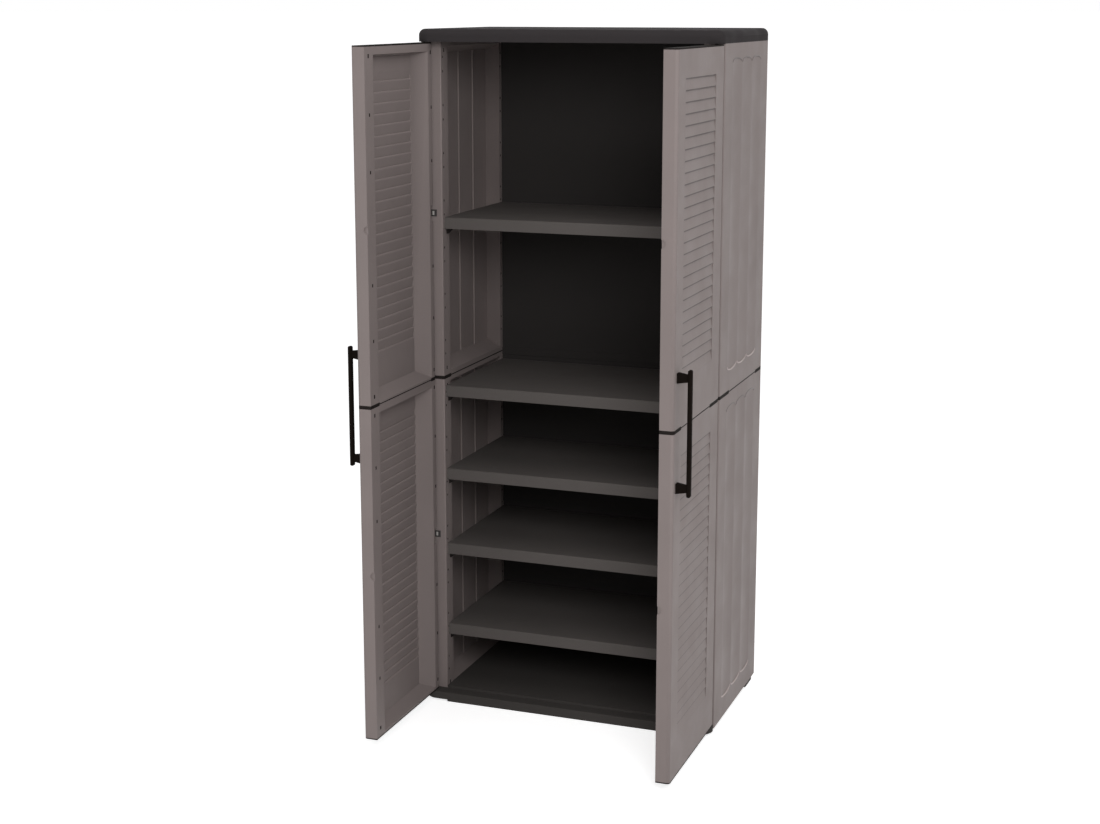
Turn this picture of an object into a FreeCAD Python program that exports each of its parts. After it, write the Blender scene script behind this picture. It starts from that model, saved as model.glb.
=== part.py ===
# Garden storage cabinet with two louvred doors, in millimetres.
# The frame is the cabinet's own: X to the right, Y to the back, Z up, and the
# origin on the floor under the middle of the carcass. Both doors stand open
# at a right angle, so each door's hinge turns from there.
import FreeCAD, Part
import os
import re

import Sketcher

# Driving sizes: name, value in millimetres (or a count), what it measures
SIZES = [
    ("cabinet_width", 800, "outer face to outer face of the side panels"),
    ("carcass_depth", 425, "front edge to back edge of a side panel"),
    ("panel_height", 868, "height of one side panel; two stand on each other"),
    ("foot_height", 12, "floor to the underside of the side panels"),
    ("seam_plate", 3, "plate of a seam connector between two panels"),
    ("collar_height", 3, "how far a connector's collar laps over each panel"),
    ("collar_lap", 4, "how far a collar reaches past the stile it wraps"),
    ("collar_skin", 6, "thickness of a collar's ends at the outer face"),
    ("collar_front", 90, "front edge of a side panel to the end of its front collar"),
    ("collar_rear", 63, "back edge of a side panel to the end of its rear collar"),
    ("collar_free", 60, "free edge of a door to the end of its collar there"),
    ("collar_hinge", 92, "hinge edge of a door to the end of its collar there"),
    ("tenon_length", 28, "tenon that plugs into the end of a post or stile"),
    ("fit_clearance", 0.3, "gap round a tenon in its socket"),
    ("window_width", 8, "snap window over a tenon, across"),
    ("window_height", 10, "snap window over a tenon, along"),
    ("window_drop", 22, "panel end to the middle of a snap window"),
    ("side_depth", 55, "outer face of a side panel to its inner face"),
    ("side_skin", 6, "wall of a side panel behind its flutes"),
    ("front_post", 42, "front post of a side panel, front to back"),
    ("rear_post", 29, "rear post of a side panel, front to back"),
    ("front_slope", 18, "run of the front post's slanted inner wall"),
    ("rear_slope", 23, "run of the rear post's slanted inner wall"),
    ("side_rail", 12, "top and bottom rail of a side panel at its inner face"),
    ("rail_slope", 18, "run of those rails' slanted walls"),
    ("side_round", 3, "rounding of a side panel's front edges"),
    ("flute_start", 69, "front edge of a side panel to its first flute"),
    ("flute_pitch", 97, "flute to flute"),
    ("flute_width", 88, "width of one flute"),
    ("flute_depth", 3, "depth of a flute at its middle"),
    ("flute_count", 3, "flutes on one side panel"),
    ("flute_margin_low", 54, "panel's lower end to the flutes"),
    ("flute_margin_high", 36, "flutes to the panel's upper end"),
    ("flute_end_depth", 2, "depth of the steep wall at each end of a flute"),
    ("flute_end_run", 2, "run of that wall"),
    ("flute_run_out", 12, "length over which a flute gains the rest of its depth"),
    ("flute_overrun", 1, "how far outside the panel the flutes' cutting profile starts"),
    ("ridge_start", 128, "front edge of a side panel to its first ridge inside"),
    ("ridge_width", 5, "upright ridge inside, between two flutes"),
    ("ridge_height", 3, "how far that ridge stands in"),
    ("peg_hole", 6, "square hole for a shelf clip"),
    ("peg_hole_depth", 11, "depth of that hole"),
    ("peg_first", 58, "panel's lower end to the first spare hole"),
    ("peg_gap", 36, "lower hole to upper hole of a pair"),
    ("peg_pitch", 122, "pair to pair"),
    ("peg_column", 13, "front edge to the spare holes of the front post"),
    ("clip_column", 30, "front edge to the front shelf clips"),
    ("rear_column", 19.5, "holes and clips of the rear post to the back edge"),
    ("clip_reach", 14, "how far a shelf clip stands out under its shelf"),
    ("clip_width", 12, "width of a shelf clip"),
    ("clip_drop", 14, "height of a shelf clip"),
    ("clip_toe", 3, "how far the clip's lower end stands out"),
    ("plug_drop", 4, "top of a clip to the top of its plug"),
    ("tongue_depth", 6, "groove in a side panel for the back's tongue"),
    ("groove_width", 6, "width of that groove"),
    ("groove_back", 5, "groove to the back edge of the side panel"),
    ("back_thickness", 10, "thickness of the back panels"),
    ("back_inset", 2, "back panels' rear face to the carcass's back"),
    ("back_flutes", 6, "sunk fields on one back panel"),
    ("back_flute_pitch", 108, "field to field"),
    ("back_flute_width", 84, "width of a sunk field"),
    ("back_flute_depth", 5, "depth of a sunk field"),
    ("back_margin", 34, "panel's end to the sunk fields"),
    ("back_lap", 9, "how far the back connector laps over each panel"),
    ("back_flange", 2, "thickness of that lap"),
    ("door_thickness", 35, "outer face to inner face of a door"),
    ("door_gap", 1, "closed door to the front of the side panels"),
    ("meeting_gap", 3, "gap between the two closed doors"),
    ("door_clearance", 2, "gap above and below a door"),
    ("end_plate", 3, "plate that closes a door's top or bottom edge"),
    ("door_wall", 7, "outer face to the floor of the dish inside a door"),
    ("free_stile", 47, "stile at a door's free edge, at its inner face"),
    ("hinge_stile", 34, "stile at a door's hinge edge, at its inner face"),
    ("stile_slope", 12, "run of the free stile's slanted wall"),
    ("hinge_slope", 45, "run of the hinge stile's slanted wall"),
    ("top_rail", 19, "a door panel's top rail at its inner face"),
    ("top_slope", 7, "run of the top rail's slanted wall"),
    ("bottom_rail", 5, "a door panel's bottom rail at its inner face"),
    ("bottom_slope", 23, "run of the bottom rail's slanted wall"),
    ("door_round", 8, "rounding of a door's outer free edge"),
    ("louvre_inset", 60, "free edge to the slats"),
    ("louvre_width", 258, "length of a slat"),
    ("louvre_top", 64, "panel's upper end to the first slat"),
    ("louvre_pitch", 26.4, "slat to slat"),
    ("louvre_bottom", 95, "panel's lower end to the least height of the last slat"),
    ("louvre_tooth", 3.5, "how far a slat's lower edge stands proud"),
    ("louvre_sunk", 0.3, "door's outer face to the slats' lower edges"),
    ("louvre_nose", 1, "height of the slanted lip under the last slat"),
    ("louvre_ledge", 3, "ledge inside behind that edge"),
    ("door_tenon_width", 18, "tenons in a door, across its thickness"),
    ("free_tenon_inset", 9, "free edge to the tenon in the free stile"),
    ("free_tenon_length", 28, "that tenon along the door's width"),
    ("finger_radius", 10, "half-round finger notch in the free edge"),
    ("finger_depth", 4, "depth of that notch"),
    ("pin_radius", 4, "pins at a door's top and bottom"),
    ("pin_engagement", 8, "how far those pins reach into their sockets"),
    ("running_clearance", 0.1, "gap round a turning pin"),
    ("clip_eye_radius", 7, "eye of a hinge bracket"),
    ("clip_eye_height", 24, "height of a hinge bracket"),
    ("clip_arm", 6, "thickness of a hinge bracket's arm"),
    ("clip_grip", 15, "how far the arm reaches into the front post"),
    ("clip_clearance", 1, "gap round a hinge bracket in its door"),
    ("bracket_notch", 43, "height of the notch for a hinge bracket"),
    ("clip_pin_radius", 3, "moulded pin that a hinge bracket's eye holds"),
    ("handle_length", 300, "length of a handle's bar"),
    ("handle_span", 260, "one post of a handle to the other"),
    ("handle_drop", 5, "seam to the middle of the handle"),
    ("handle_inset", 26, "free edge to the middle of the bar"),
    ("handle_standoff", 25, "door to the back of the bar"),
    ("bar_thickness", 10, "bar of a handle, away from the door"),
    ("bar_width", 14, "bar of a handle, across"),
    ("bar_edge", 2.5, "slanted edges all round the bar"),
    ("post_foot_height", 24, "foot of a handle's post, upright"),
    ("post_foot_width", 18, "foot of a handle's post, across"),
    ("post_neck_height", 18, "post where it meets the bar, upright"),
    ("post_neck_width", 8, "post where it meets the bar, across"),
    ("stud_size", 8, "square stud that plugs a handle into a door"),
    ("stud_length", 9, "length of that stud"),
    ("lip_depth", 38, "how far base and cap reach out under and over the doors"),
    ("lip_bottom", 5, "floor to the underside of the base's lip"),
    ("lip_top", 24, "floor to the top of the base's lip"),
    ("lip_wall", 4, "wall of the lip and of its skirt"),
    ("lip_corner", 36, "rounded front corners of the lip, in plan"),
    ("lip_edge", 2, "slanted edge round the lip's top"),
    ("lip_inset", 2, "lip's end to the side panel's outer face"),
    ("lip_block", 68, "solid end of the lip that carries the hinge pin"),
    ("lip_columns", 5, "cells under the lip, and in the cap's overhang"),
    ("sill_thickness", 5, "sill that the side and back panels stand on"),
    ("sill_inset", 10, "sill to the side panel's outer face"),
    ("deck_top", 30, "floor to the top of the bottom deck"),
    ("deck_wall", 4, "top wall and ribs of the deck"),
    ("deck_columns", 4, "cells under the deck, across"),
    ("deck_rows", 3, "cells under the deck, front to back"),
    ("foot_inset", 3, "rear foot to the side panel's outer face"),
    ("foot_width", 66, "rear foot, across"),
    ("foot_front", 340, "carcass front to the rear foot"),
    ("foot_length", 65, "rear foot, front to back"),
    ("centre_pad", 40, "square pad under the middle of the base"),
    ("cap_height", 32, "height of the top cap"),
    ("cap_wall", 4, "ribs of the top cap"),
    ("cap_front_wall", 10, "front wall of the cap's overhang, under its rounding"),
    ("cap_roof", 5, "roof of the top cap"),
    ("cap_corner", 36, "rounded front corners of the cap, in plan"),
    ("cap_round", 16, "rounding of the cap's top edge at its front and ends"),
    ("side_tenon_width", 32, "tenon in a front post, across"),
    ("side_tenon_depth", 26, "tenon in a front post, front to back"),
    ("shelf_height", 30, "height of a shelf's front edge"),
    ("shelf_wall", 3, "top wall and ribs of a shelf"),
    ("shelf_front", 12, "carcass front to a shelf's front edge"),
    ("shelf_gap", 0.3, "shelf to the posts and to the back"),
    ("shelf_round", 3, "rounding of a shelf's top front edge"),
    ("shelf_columns", 4, "cells under a shelf, across"),
    ("shelf_rows", 3, "cells under a shelf, front to back"),
    ("shelf_1_rise", 420, "foot of the upper panels to the top of shelf 1"),
    ("shelf_2_drop", 21, "top of the lower panels down to the top of shelf 2"),
    ("shelf_3_drop", 246, "top of the lower panels down to the top of shelf 3"),
    ("shelf_4_drop", 452, "top of the lower panels down to the top of shelf 4"),
    ("shelf_5_drop", 677, "top of the lower panels down to the top of shelf 5"),
]

# How far an edge may lie from where it is looked for, in millimetres
EXACT = 0.001
NEAR = 1

# Places worked out from the driving sizes
HALF = "(cabinet_width / 2)"
FRONT = "(-carcass_depth / 2)"
BACK = "(carcass_depth / 2)"
INNER = "(cabinet_width / 2 - side_depth)"
SEAM_Z = "(foot_height + panel_height)"
UPPER_Z = "(foot_height + panel_height + seam_plate)"
CAP_Z = "(foot_height + 2 * panel_height + seam_plate)"
DOOR_LOW_Z = "(lip_top + door_clearance + end_plate)"
DOOR_LOW_HEIGHT = f"({SEAM_Z} - {DOOR_LOW_Z})"
DOOR_HIGH_HEIGHT = "(panel_height - door_clearance - end_plate)"
DOOR_TOP_Z = f"({UPPER_Z} + {DOOR_HIGH_HEIGHT})"
HINGE = "(door_thickness / 2)"
AXIS_X = f"({HALF} - {HINGE})"
AXIS_Y = f"({FRONT} - door_gap - {HINGE})"
DOOR_WIDTH = f"({HALF} - meeting_gap / 2)"
FREE = f"({HINGE} - {DOOR_WIDTH})"
HANDLE_Z = f"({SEAM_Z} + seam_plate / 2 - handle_drop)"
CLIP_LOW_Z = f"({DOOR_LOW_Z} + {DOOR_LOW_HEIGHT} / 2)"
CLIP_HIGH_Z = f"({UPPER_Z} + {DOOR_HIGH_HEIGHT} / 2)"
BACK_FACE = "(back_inset + back_thickness)"

doc = FreeCAD.newDocument("GardenCabinet")
sheet = doc.addObject("Spreadsheet::Sheet", "Sizes")
for row, (alias, value, meaning) in enumerate(SIZES, start=1):
    sheet.set(f"A{row}", alias)
    sheet.set(f"B{row}", str(value))
    sheet.set(f"C{row}", meaning)
    sheet.setAlias(f"B{row}", alias)
doc.recompute()

ALIASES = {alias for alias, value, meaning in SIZES}
NODES = []


def bind(text):
    """The same formula with each size's name pointing at its cell."""
    words = re.split(r"([a-z_0-9]+)", str(text))
    return "".join(f"Sizes.{word}" if word in ALIASES else word for word in words)


def number(text):
    """The formula's present value in millimetres."""
    return float(sheet.evalExpression(bind(text)))


def set_size(thing, place, text):
    """Bind one property of an object to a formula."""
    thing.setExpression(place, bind(text))


def keep(thing, name):
    """Name a finished piece as a node of the cabinet."""
    thing.Label = name
    NODES.append(thing)
    return thing


def new_body(name, x="0", y="0", z="0"):
    """An empty body whose own origin stands at x, y, z."""
    body = doc.addObject("PartDesign::Body", name)
    for axis, text in zip("xyz", (x, y, z)):
        set_size(body, f"Placement.Base.{axis}", text)
    return keep(body, name)


def mirrored(piece, name):
    """The left-hand twin of a right-hand piece."""
    twin = doc.addObject("Part::Mirroring", name)
    twin.Source = piece
    twin.Normal = FreeCAD.Vector(1, 0, 0)
    return keep(twin, name)


def draw(body, name, plane, offset="0"):
    """A sketch on one of the body's origin planes, moved along its normal."""
    sketch = body.newObject("Sketcher::SketchObject", f"{name}Sketch")
    support = [feature for feature in body.Origin.OriginFeatures if feature.Role == plane]
    sketch.AttachmentSupport = [(support[0], "")]
    sketch.MapMode = "FlatFace"
    set_size(sketch, "AttachmentOffset.Base.z", offset)
    return sketch


def fix_point(sketch, geometry, end, x, y):
    """Tie one end of a line, or a circle's centre, to two formulas."""
    for kind, text in (("DistanceX", x), ("DistanceY", y)):
        index = sketch.addConstraint(Sketcher.Constraint(kind, -1, 1, geometry, end, number(text)))
        set_size(sketch, f"Constraints[{index}]", text)


def outline(sketch, corners):
    """A closed outline of straight lines through the corners."""
    spots = [FreeCAD.Vector(number(x), number(y), 0) for x, y in corners]
    first = sketch.GeometryCount
    for index, spot in enumerate(spots):
        sketch.addGeometry(Part.LineSegment(spot, spots[(index + 1) % len(spots)]))
    for index, (x, y) in enumerate(corners):
        following = first + (index + 1) % len(corners)
        sketch.addConstraint(Sketcher.Constraint("Coincident", first + index, 2, following, 1))
        fix_point(sketch, first + index, 1, x, y)


def rectangle(sketch, across, along):
    """A rectangle between two pairs of formulas."""
    (x0, x1), (y0, y1) = across, along
    outline(sketch, [(x0, y0), (x1, y0), (x1, y1), (x0, y1)])


def circle(sketch, x, y, radius):
    """A circle about a point."""
    centre = FreeCAD.Vector(number(x), number(y), 0)
    geometry = sketch.addGeometry(Part.Circle(centre, FreeCAD.Vector(0, 0, 1), number(radius)))
    fix_point(sketch, geometry, 3, x, y)
    index = sketch.addConstraint(Sketcher.Constraint("Radius", geometry, number(radius)))
    set_size(sketch, f"Constraints[{index}]", radius)


def extrude(body, kind, name, sketch, length, reverse=False):
    """Pad or pocket a sketch by a length."""
    feature = body.newObject(f"PartDesign::{kind}", name)
    feature.Profile = sketch
    feature.Reversed = reverse
    set_size(feature, "Length", length)
    return feature


def block(body, name, up, *plans):
    """Add upright blocks; a plan is a pair of spans, across and front to back."""
    sketch = draw(body, name, "XY_Plane", up[0])
    for across, along in plans:
        rectangle(sketch, across, along)
    return extrude(body, "Pad", name, sketch, f"{up[1]} - ({up[0]})")


def hollow(body, name, up, *plans):
    """Cut upright blocks out of the body."""
    sketch = draw(body, name, "XY_Plane", up[0])
    for across, along in plans:
        rectangle(sketch, across, along)
    return extrude(body, "Pocket", name, sketch, f"{up[1]} - ({up[0]})", reverse=True)


def recess(body, name, face, depth, *windows):
    """Cut from an upright face towards +X; a window is a span along Y and one up."""
    sketch = draw(body, name, "YZ_Plane", face)
    for along, up in windows:
        rectangle(sketch, along, up)
    return extrude(body, "Pocket", name, sketch, depth, reverse=True)


def cylinder(body, name, x, y, radius, up):
    """Add an upright cylinder."""
    sketch = draw(body, name, "XY_Plane", up[0])
    circle(sketch, x, y, radius)
    return extrude(body, "Pad", name, sketch, f"{up[1]} - ({up[0]})")


def bore(body, name, x, y, radius, up):
    """Cut an upright cylinder out of the body."""
    sketch = draw(body, name, "XY_Plane", up[0])
    circle(sketch, x, y, radius)
    return extrude(body, "Pocket", name, sketch, f"{up[1]} - ({up[0]})", reverse=True)


def taper(body, kind, name, near, far):
    """A block that narrows along X, from one upright rectangle to another."""
    wedge = body.newObject(f"PartDesign::{kind}Wedge", name)
    support = [feature for feature in body.Origin.OriginFeatures if feature.Role == "XY_Plane"]
    wedge.AttachmentSupport = [(support[0], "")]
    wedge.MapMode = "FlatFace"
    wedge.AttachmentOffset = FreeCAD.Placement(FreeCAD.Vector(), FreeCAD.Rotation(-90, 0, 0))
    for end, second, (x, along, up) in (("min", "", near), ("max", "2", far)):
        set_size(wedge, f"Y{end}", x)
        set_size(wedge, f"X{second}min", f"-({along[1]})")
        set_size(wedge, f"X{second}max", f"-({along[0]})")
        set_size(wedge, f"Z{second}min", up[0])
        set_size(wedge, f"Z{second}max", up[1])
    return wedge


def repeat(body, name, features, axis, step, count, reverse=False):
    """Repeat features along one of the body's axes."""
    pattern = body.newObject("PartDesign::LinearPattern", name)
    pattern.Originals = features
    line = [feature for feature in body.Origin.OriginFeatures if feature.Role == f"{axis}_Axis"]
    pattern.Direction = (line[0], [""])
    pattern.Reversed = reverse
    set_size(pattern, "Length", f"({step}) * ({count} - 1)")
    set_size(pattern, "Occurrences", count)
    body.Tip = pattern
    return pattern


def upright_edges(shape, places):
    """Names of the upright edges that stand at the given points in plan."""
    found = []
    for index, edge in enumerate(shape.Edges, start=1):
        centre, box = edge.BoundBox.Center, edge.BoundBox
        upright = box.XLength < EXACT and box.YLength < EXACT
        near = any(abs(centre.x - x) < EXACT and abs(centre.y - y) < EXACT for x, y in places)
        if upright and near:
            found.append(f"Edge{index}")
    return found


def edges_at(shape, axis, height):
    """Names of the edges that lie wholly at one height along an axis."""
    found = []
    for index, edge in enumerate(shape.Edges, start=1):
        box = edge.BoundBox
        low = {"x": box.XMin, "y": box.YMin, "z": box.ZMin}[axis]
        high = {"x": box.XMax, "y": box.YMax, "z": box.ZMax}[axis]
        if abs(low - height) < EXACT and abs(high - height) < EXACT:
            found.append(f"Edge{index}")
    return found


def ease(body, kind, name, pick, size):
    """Fillet or Chamfer the edges that a function picks from the body's shape."""
    doc.recompute()
    base = body.Tip
    feature = body.newObject(f"PartDesign::{kind}", name)
    feature.Base = (base, pick(base.Shape))
    set_size(feature, {"Fillet": "Radius", "Chamfer": "Size"}[kind], size)
    return feature


def round_uprights(body, name, places, radius):
    """Round upright edges that stand at the given points in plan."""
    spots = [(number(x), number(y)) for x, y in places]
    return ease(body, "Fillet", name, lambda shape: upright_edges(shape, spots), radius)


def grow(span, amount="fit_clearance"):
    """A pair of formulas made wider by a clearance at both ends."""
    return (f"{span[0]} - {amount}", f"{span[1]} + {amount}")


# Side panels: a moulded dish with posts, flutes outside and shelf holes inside
POST_TENON_X = ("(-side_depth / 2 - side_tenon_width / 2)", "(-side_depth / 2 + side_tenon_width / 2)")
POST_TENON_Y = ("(front_post / 2 - side_tenon_depth / 2)", "(front_post / 2 + side_tenon_depth / 2)")
SIDE_COLLAR = (("-side_depth", "0"), ("0", "front_post + collar_lap"))
SIDE_SKIN = ("-collar_skin", "0")
SIDE_COLLAR_ENDS = ((SIDE_SKIN, ("0", "collar_front")),
                    (SIDE_SKIN, ("carcass_depth - collar_rear", "carcass_depth")))
REAR_COLUMN = "(carcass_depth - rear_column)"
PEG_ROOM = "(panel_height - peg_first - peg_gap - peg_hole - side_rail - rail_slope)"


def cut_flutes(body):
    """Shallow upright flutes, each with a steep wall and a run-out at its ends."""
    middle = "(flute_start + flute_width / 2)"
    radius = "((flute_width ^ 2 / 4 + flute_depth ^ 2) / (2 * flute_depth))"
    axis = f"({radius} - flute_depth)"
    rise = "(flute_overrun * flute_end_run / flute_end_depth)"
    wall = "flute_end_run"
    run_out = "(flute_end_run + flute_run_out)"
    low = "flute_margin_low"
    high = "(panel_height - flute_margin_high)"
    sketch = draw(body, "Flute", "XZ_Plane", f"-{middle}")
    set_size(sketch, "AttachmentOffset.Base.x", axis)
    outline(sketch, [
        ("0", f"{low} - {rise}"),
        (f"flute_overrun - {axis}", f"{low} - {rise}"),
        (f"-flute_end_depth - {axis}", f"{low} + {wall}"),
        (f"-flute_depth - {axis}", f"{low} + {run_out}"),
        (f"-flute_depth - {axis}", f"{high} - {run_out}"),
        (f"-flute_end_depth - {axis}", f"{high} - {wall}"),
        (f"flute_overrun - {axis}", f"{high} + {rise}"),
        ("0", f"{high} + {rise}"),
    ])
    groove = body.newObject("PartDesign::Groove", "Flute")
    groove.Profile = sketch
    groove.ReferenceAxis = (sketch, ["V_Axis"])
    groove.Angle = 360
    repeat(body, "Flutes", [groove], "Y", "flute_pitch", "flute_count")


def square_hole(column, bottom):
    """Span front to back, and span up, of one hole for a clip's plug."""
    return (f"{column} - peg_hole / 2", f"{column} + peg_hole / 2"), (bottom, f"{bottom} + peg_hole")


def cut_shelf_holes(body, panel_z, shelf_tops):
    """Spare hole pairs on both posts, and the holes that hold the clips."""
    plugs = []
    for index, top in shelf_tops:
        bottom = f"({top} - shelf_height - plug_drop - peg_hole - {panel_z})"
        plugs += [square_hole("clip_column", bottom), square_hole(REAR_COLUMN, bottom)]
    recess(body, "ClipHoles", "-side_depth", "peg_hole_depth", *plugs)
    pairs = [square_hole(column, bottom) for column in ("peg_column", REAR_COLUMN)
             for bottom in ("peg_first", "(peg_first + peg_gap)")]
    pegs = recess(body, "Peg", "-side_depth", "peg_hole_depth", *pairs)
    repeat(body, "Pegs", [pegs], "Z", "peg_pitch", f"(floor({PEG_ROOM} / peg_pitch) + 1)")


def side_panel(name, panel_z, clip_z, shelf_tops, seam_on_top):
    """One side panel of the right-hand side."""
    body = new_body(name, HALF, FRONT, panel_z)
    whole = ("0", "panel_height")
    block(body, "Blank", whole, (("-side_depth", "0"), ("0", "carcass_depth")))
    round_uprights(body, "Rounding", [("-side_depth", "0"), ("0", "0")], "side_round")
    rail = "(side_rail + rail_slope)"
    mouth = (("front_post", "carcass_depth - rear_post"), ("side_rail", "panel_height - side_rail"))
    floor = (("front_post + front_slope", "carcass_depth - rear_post + rear_slope"),
             (rail, f"panel_height - {rail}"))
    taper(body, "Subtractive", "Dish", ("-side_depth", *mouth), ("-side_skin", *floor))
    hollow(body, "BackGroove", whole,
           (("-side_depth", "-side_depth + tongue_depth"),
            ("carcass_depth - groove_back - groove_width", "carcass_depth - groove_back")))
    reach = "(tenon_length + fit_clearance)"
    socket = (grow(POST_TENON_X), grow(POST_TENON_Y))
    hollow(body, "SocketLow", ("0", reach), socket)
    hollow(body, "SocketHigh", (f"panel_height - {reach}", "panel_height"), socket)
    across = ("front_post / 2 - window_width / 2", "front_post / 2 + window_width / 2")
    recess(body, "SnapWindows", "-side_depth", f"{POST_TENON_X[0]} + side_depth", *[
        (across, (f"{middle} - window_height / 2", f"{middle} + window_height / 2"))
        for middle in ("window_drop", "(panel_height - window_drop)")
    ])
    collar = ("panel_height - collar_height", "panel_height") if seam_on_top else ("0", "collar_height")
    hollow(body, "CollarSeat", collar, SIDE_COLLAR)
    hollow(body, "CollarEndSeats", collar, *SIDE_COLLAR_ENDS)
    middle = f"({clip_z} - {panel_z})"
    hollow(body, "BracketSlot", (f"{middle} - clip_eye_height / 2", f"{middle} + clip_eye_height / 2"),
           ((f"-{HINGE} - clip_arm / 2", f"-{HINGE} + clip_arm / 2"), ("0", "clip_grip")))
    ridge = block(body, "Ridge", (f"{rail} - ridge_height", f"panel_height - {rail} + ridge_height"),
                  (("-side_skin - ridge_height", "-side_skin"),
                   ("ridge_start - ridge_width / 2", "ridge_start + ridge_width / 2")))
    repeat(body, "Ridges", [ridge], "Y", "flute_pitch", "flute_count")
    cut_flutes(body)
    cut_shelf_holes(body, panel_z, shelf_tops)
    return body


def side_connector():
    """Plate with a collar and tenons that joins two right-hand side panels."""
    body = new_body("side_connector_right", HALF, FRONT, SEAM_Z)
    block(body, "Plate", ("0", "seam_plate"), (("-side_depth", "0"), ("0", "carcass_depth")))
    collar = ("-collar_height", "seam_plate + collar_height")
    block(body, "Collar", collar, SIDE_COLLAR)
    block(body, "CollarEnds", collar, *SIDE_COLLAR_ENDS)
    round_uprights(body, "Rounding", [("-side_depth", "0"), ("0", "0")], "side_round")
    block(body, "Tenon", ("-tenon_length", "seam_plate + tenon_length"), (POST_TENON_X, POST_TENON_Y))
    return body


# Back panels and the strip that joins them
def back_panel(name, panel_z):
    """Back panel with tongues at its sides and sunk fields behind."""
    body = new_body(name, "0", BACK, panel_z)
    whole = ("0", "panel_height")
    reach = f"({INNER} + tongue_depth - fit_clearance)"
    block(body, "Blank", whole, ((f"-{INNER}", INNER), (f"-{BACK_FACE}", "-back_inset")))
    tongue = ("-groove_back - groove_width + fit_clearance", "-groove_back - fit_clearance")
    block(body, "Tongues", whole, ((f"-{reach}", reach), tongue))
    first = "(-back_flute_pitch * (back_flutes - 1) / 2)"
    field = hollow(body, "Field", ("back_margin", "panel_height - back_margin"),
                   ((f"{first} - back_flute_width / 2", f"{first} + back_flute_width / 2"),
                    ("-back_inset - back_flute_depth", "-back_inset")))
    repeat(body, "Fields", [field], "X", "back_flute_pitch", "back_flutes")
    return body


def back_connector():
    """Strip between the two back panels, with a lap inside the cabinet."""
    body = new_body("back_connector", "0", BACK, SEAM_Z)
    block(body, "Plate", ("0", "seam_plate"), ((f"-{INNER}", INNER), (f"-{BACK_FACE}", "-back_inset")))
    block(body, "Lap", ("-back_lap", "seam_plate + back_lap"),
          ((f"-{INNER}", INNER), (f"-{BACK_FACE} - back_flange", f"-{BACK_FACE}")))
    return body


# Base and cap: both carry tenons for the posts and sockets for the hinge pins
def both_sides(across, along):
    """A plan on the right-hand side, and its twin on the left."""
    return (across, along), ((f"-({across[1]})", f"-({across[0]})"), along)


def from_side(span):
    """The same span across, counted from the middle of the cabinet."""
    return f"{HALF} + {span[0]}", f"{HALF} + {span[1]}"


def from_front(span):
    """The same span front to back, counted from the middle of the carcass."""
    return f"{FRONT} + {span[0]}", f"{FRONT} + {span[1]}"


def cut_cells(body, name, across, along, wall, columns, rows, up):
    """Cut a grid of cells, leaving ribs between them and walls around them."""
    pitch_x = f"(({across[1]} - ({across[0]}) - {wall}) / {columns})"
    pitch_y = f"(({along[1]} - ({along[0]}) - {wall}) / {rows})"
    front = (f"{along[0]} + {wall}", f"{along[0]} + {pitch_y}")
    plans = []
    for column in range(int(number(columns))):
        left = f"{across[0]} + {wall} + {column} * {pitch_x}"
        plans.append(((left, f"{left} + {pitch_x} - {wall}"), front))
    row = hollow(body, name, up, *plans)
    if int(number(rows)) > 1:
        repeat(body, f"{name}s", [row], "Y", pitch_y, rows)


def base_tray():
    """Moulded base with the hinge sockets in its front lip."""
    body = new_body("base_tray", "0", FRONT, "0")
    sill_z = "(foot_height - sill_thickness)"
    sill = f"({HALF} - sill_inset)"
    end = f"({HALF} - lip_inset)"
    deck_back = f"(carcass_depth - {BACK_FACE})"
    block(body, "Lip", ("lip_bottom", "lip_top"), ((f"-{end}", end), ("-lip_depth", "0")))
    round_uprights(body, "LipCorners", [(f"-{end}", "-lip_depth"), (end, "-lip_depth")], "lip_corner")
    lip_top = number("lip_top")
    ease(body, "Chamfer", "LipEdge", lambda shape: [
        edge for edge in edges_at(shape, "z", lip_top) if shape.getElement(edge).BoundBox.YMin < -NEAR
    ], "lip_edge")
    inside = f"({end} - lip_block)"
    cut_cells(body, "LipCell", (f"-{inside}", inside), ("-lip_depth", "0"),
              "lip_wall", "lip_columns", "1", ("lip_bottom", "lip_top - lip_wall"))
    block(body, "Skirt", ("0", "lip_bottom"),
          ((f"-{inside}", inside), ("-lip_depth", "-lip_depth + lip_wall")))
    block(body, "Sill", (sill_z, "foot_height"), ((f"-{sill}", sill), ("0", "carcass_depth - back_inset")))
    block(body, "Deck", (sill_z, "deck_top"), ((f"-{INNER}", INNER), ("0", deck_back)))
    cut_cells(body, "DeckCell", (f"-{INNER}", INNER), ("0", deck_back),
              "deck_wall", "deck_columns", "deck_rows", (sill_z, "deck_top - deck_wall"))
    pad = ("-centre_pad / 2", "centre_pad / 2")
    block(body, "CentrePad", ("0", "deck_top - deck_wall"),
          (pad, ("carcass_depth / 2 - centre_pad / 2", "carcass_depth / 2 + centre_pad / 2")))
    foot = f"({HALF} - foot_inset)"
    block(body, "Feet", ("0", sill_z),
          *both_sides((f"{foot} - foot_width", foot), ("foot_front", "foot_front + foot_length")))
    block(body, "Tenons", ("foot_height", "foot_height + tenon_length"),
          *both_sides(from_side(POST_TENON_X), POST_TENON_Y))
    for label, sign in (("Right", ""), ("Left", "-")):
        bore(body, f"PinSocket{label}", f"{sign}{AXIS_X}", f"-door_gap - {HINGE}",
             "pin_radius + running_clearance", ("lip_top - pin_engagement - fit_clearance", "lip_top"))
    return body


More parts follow.
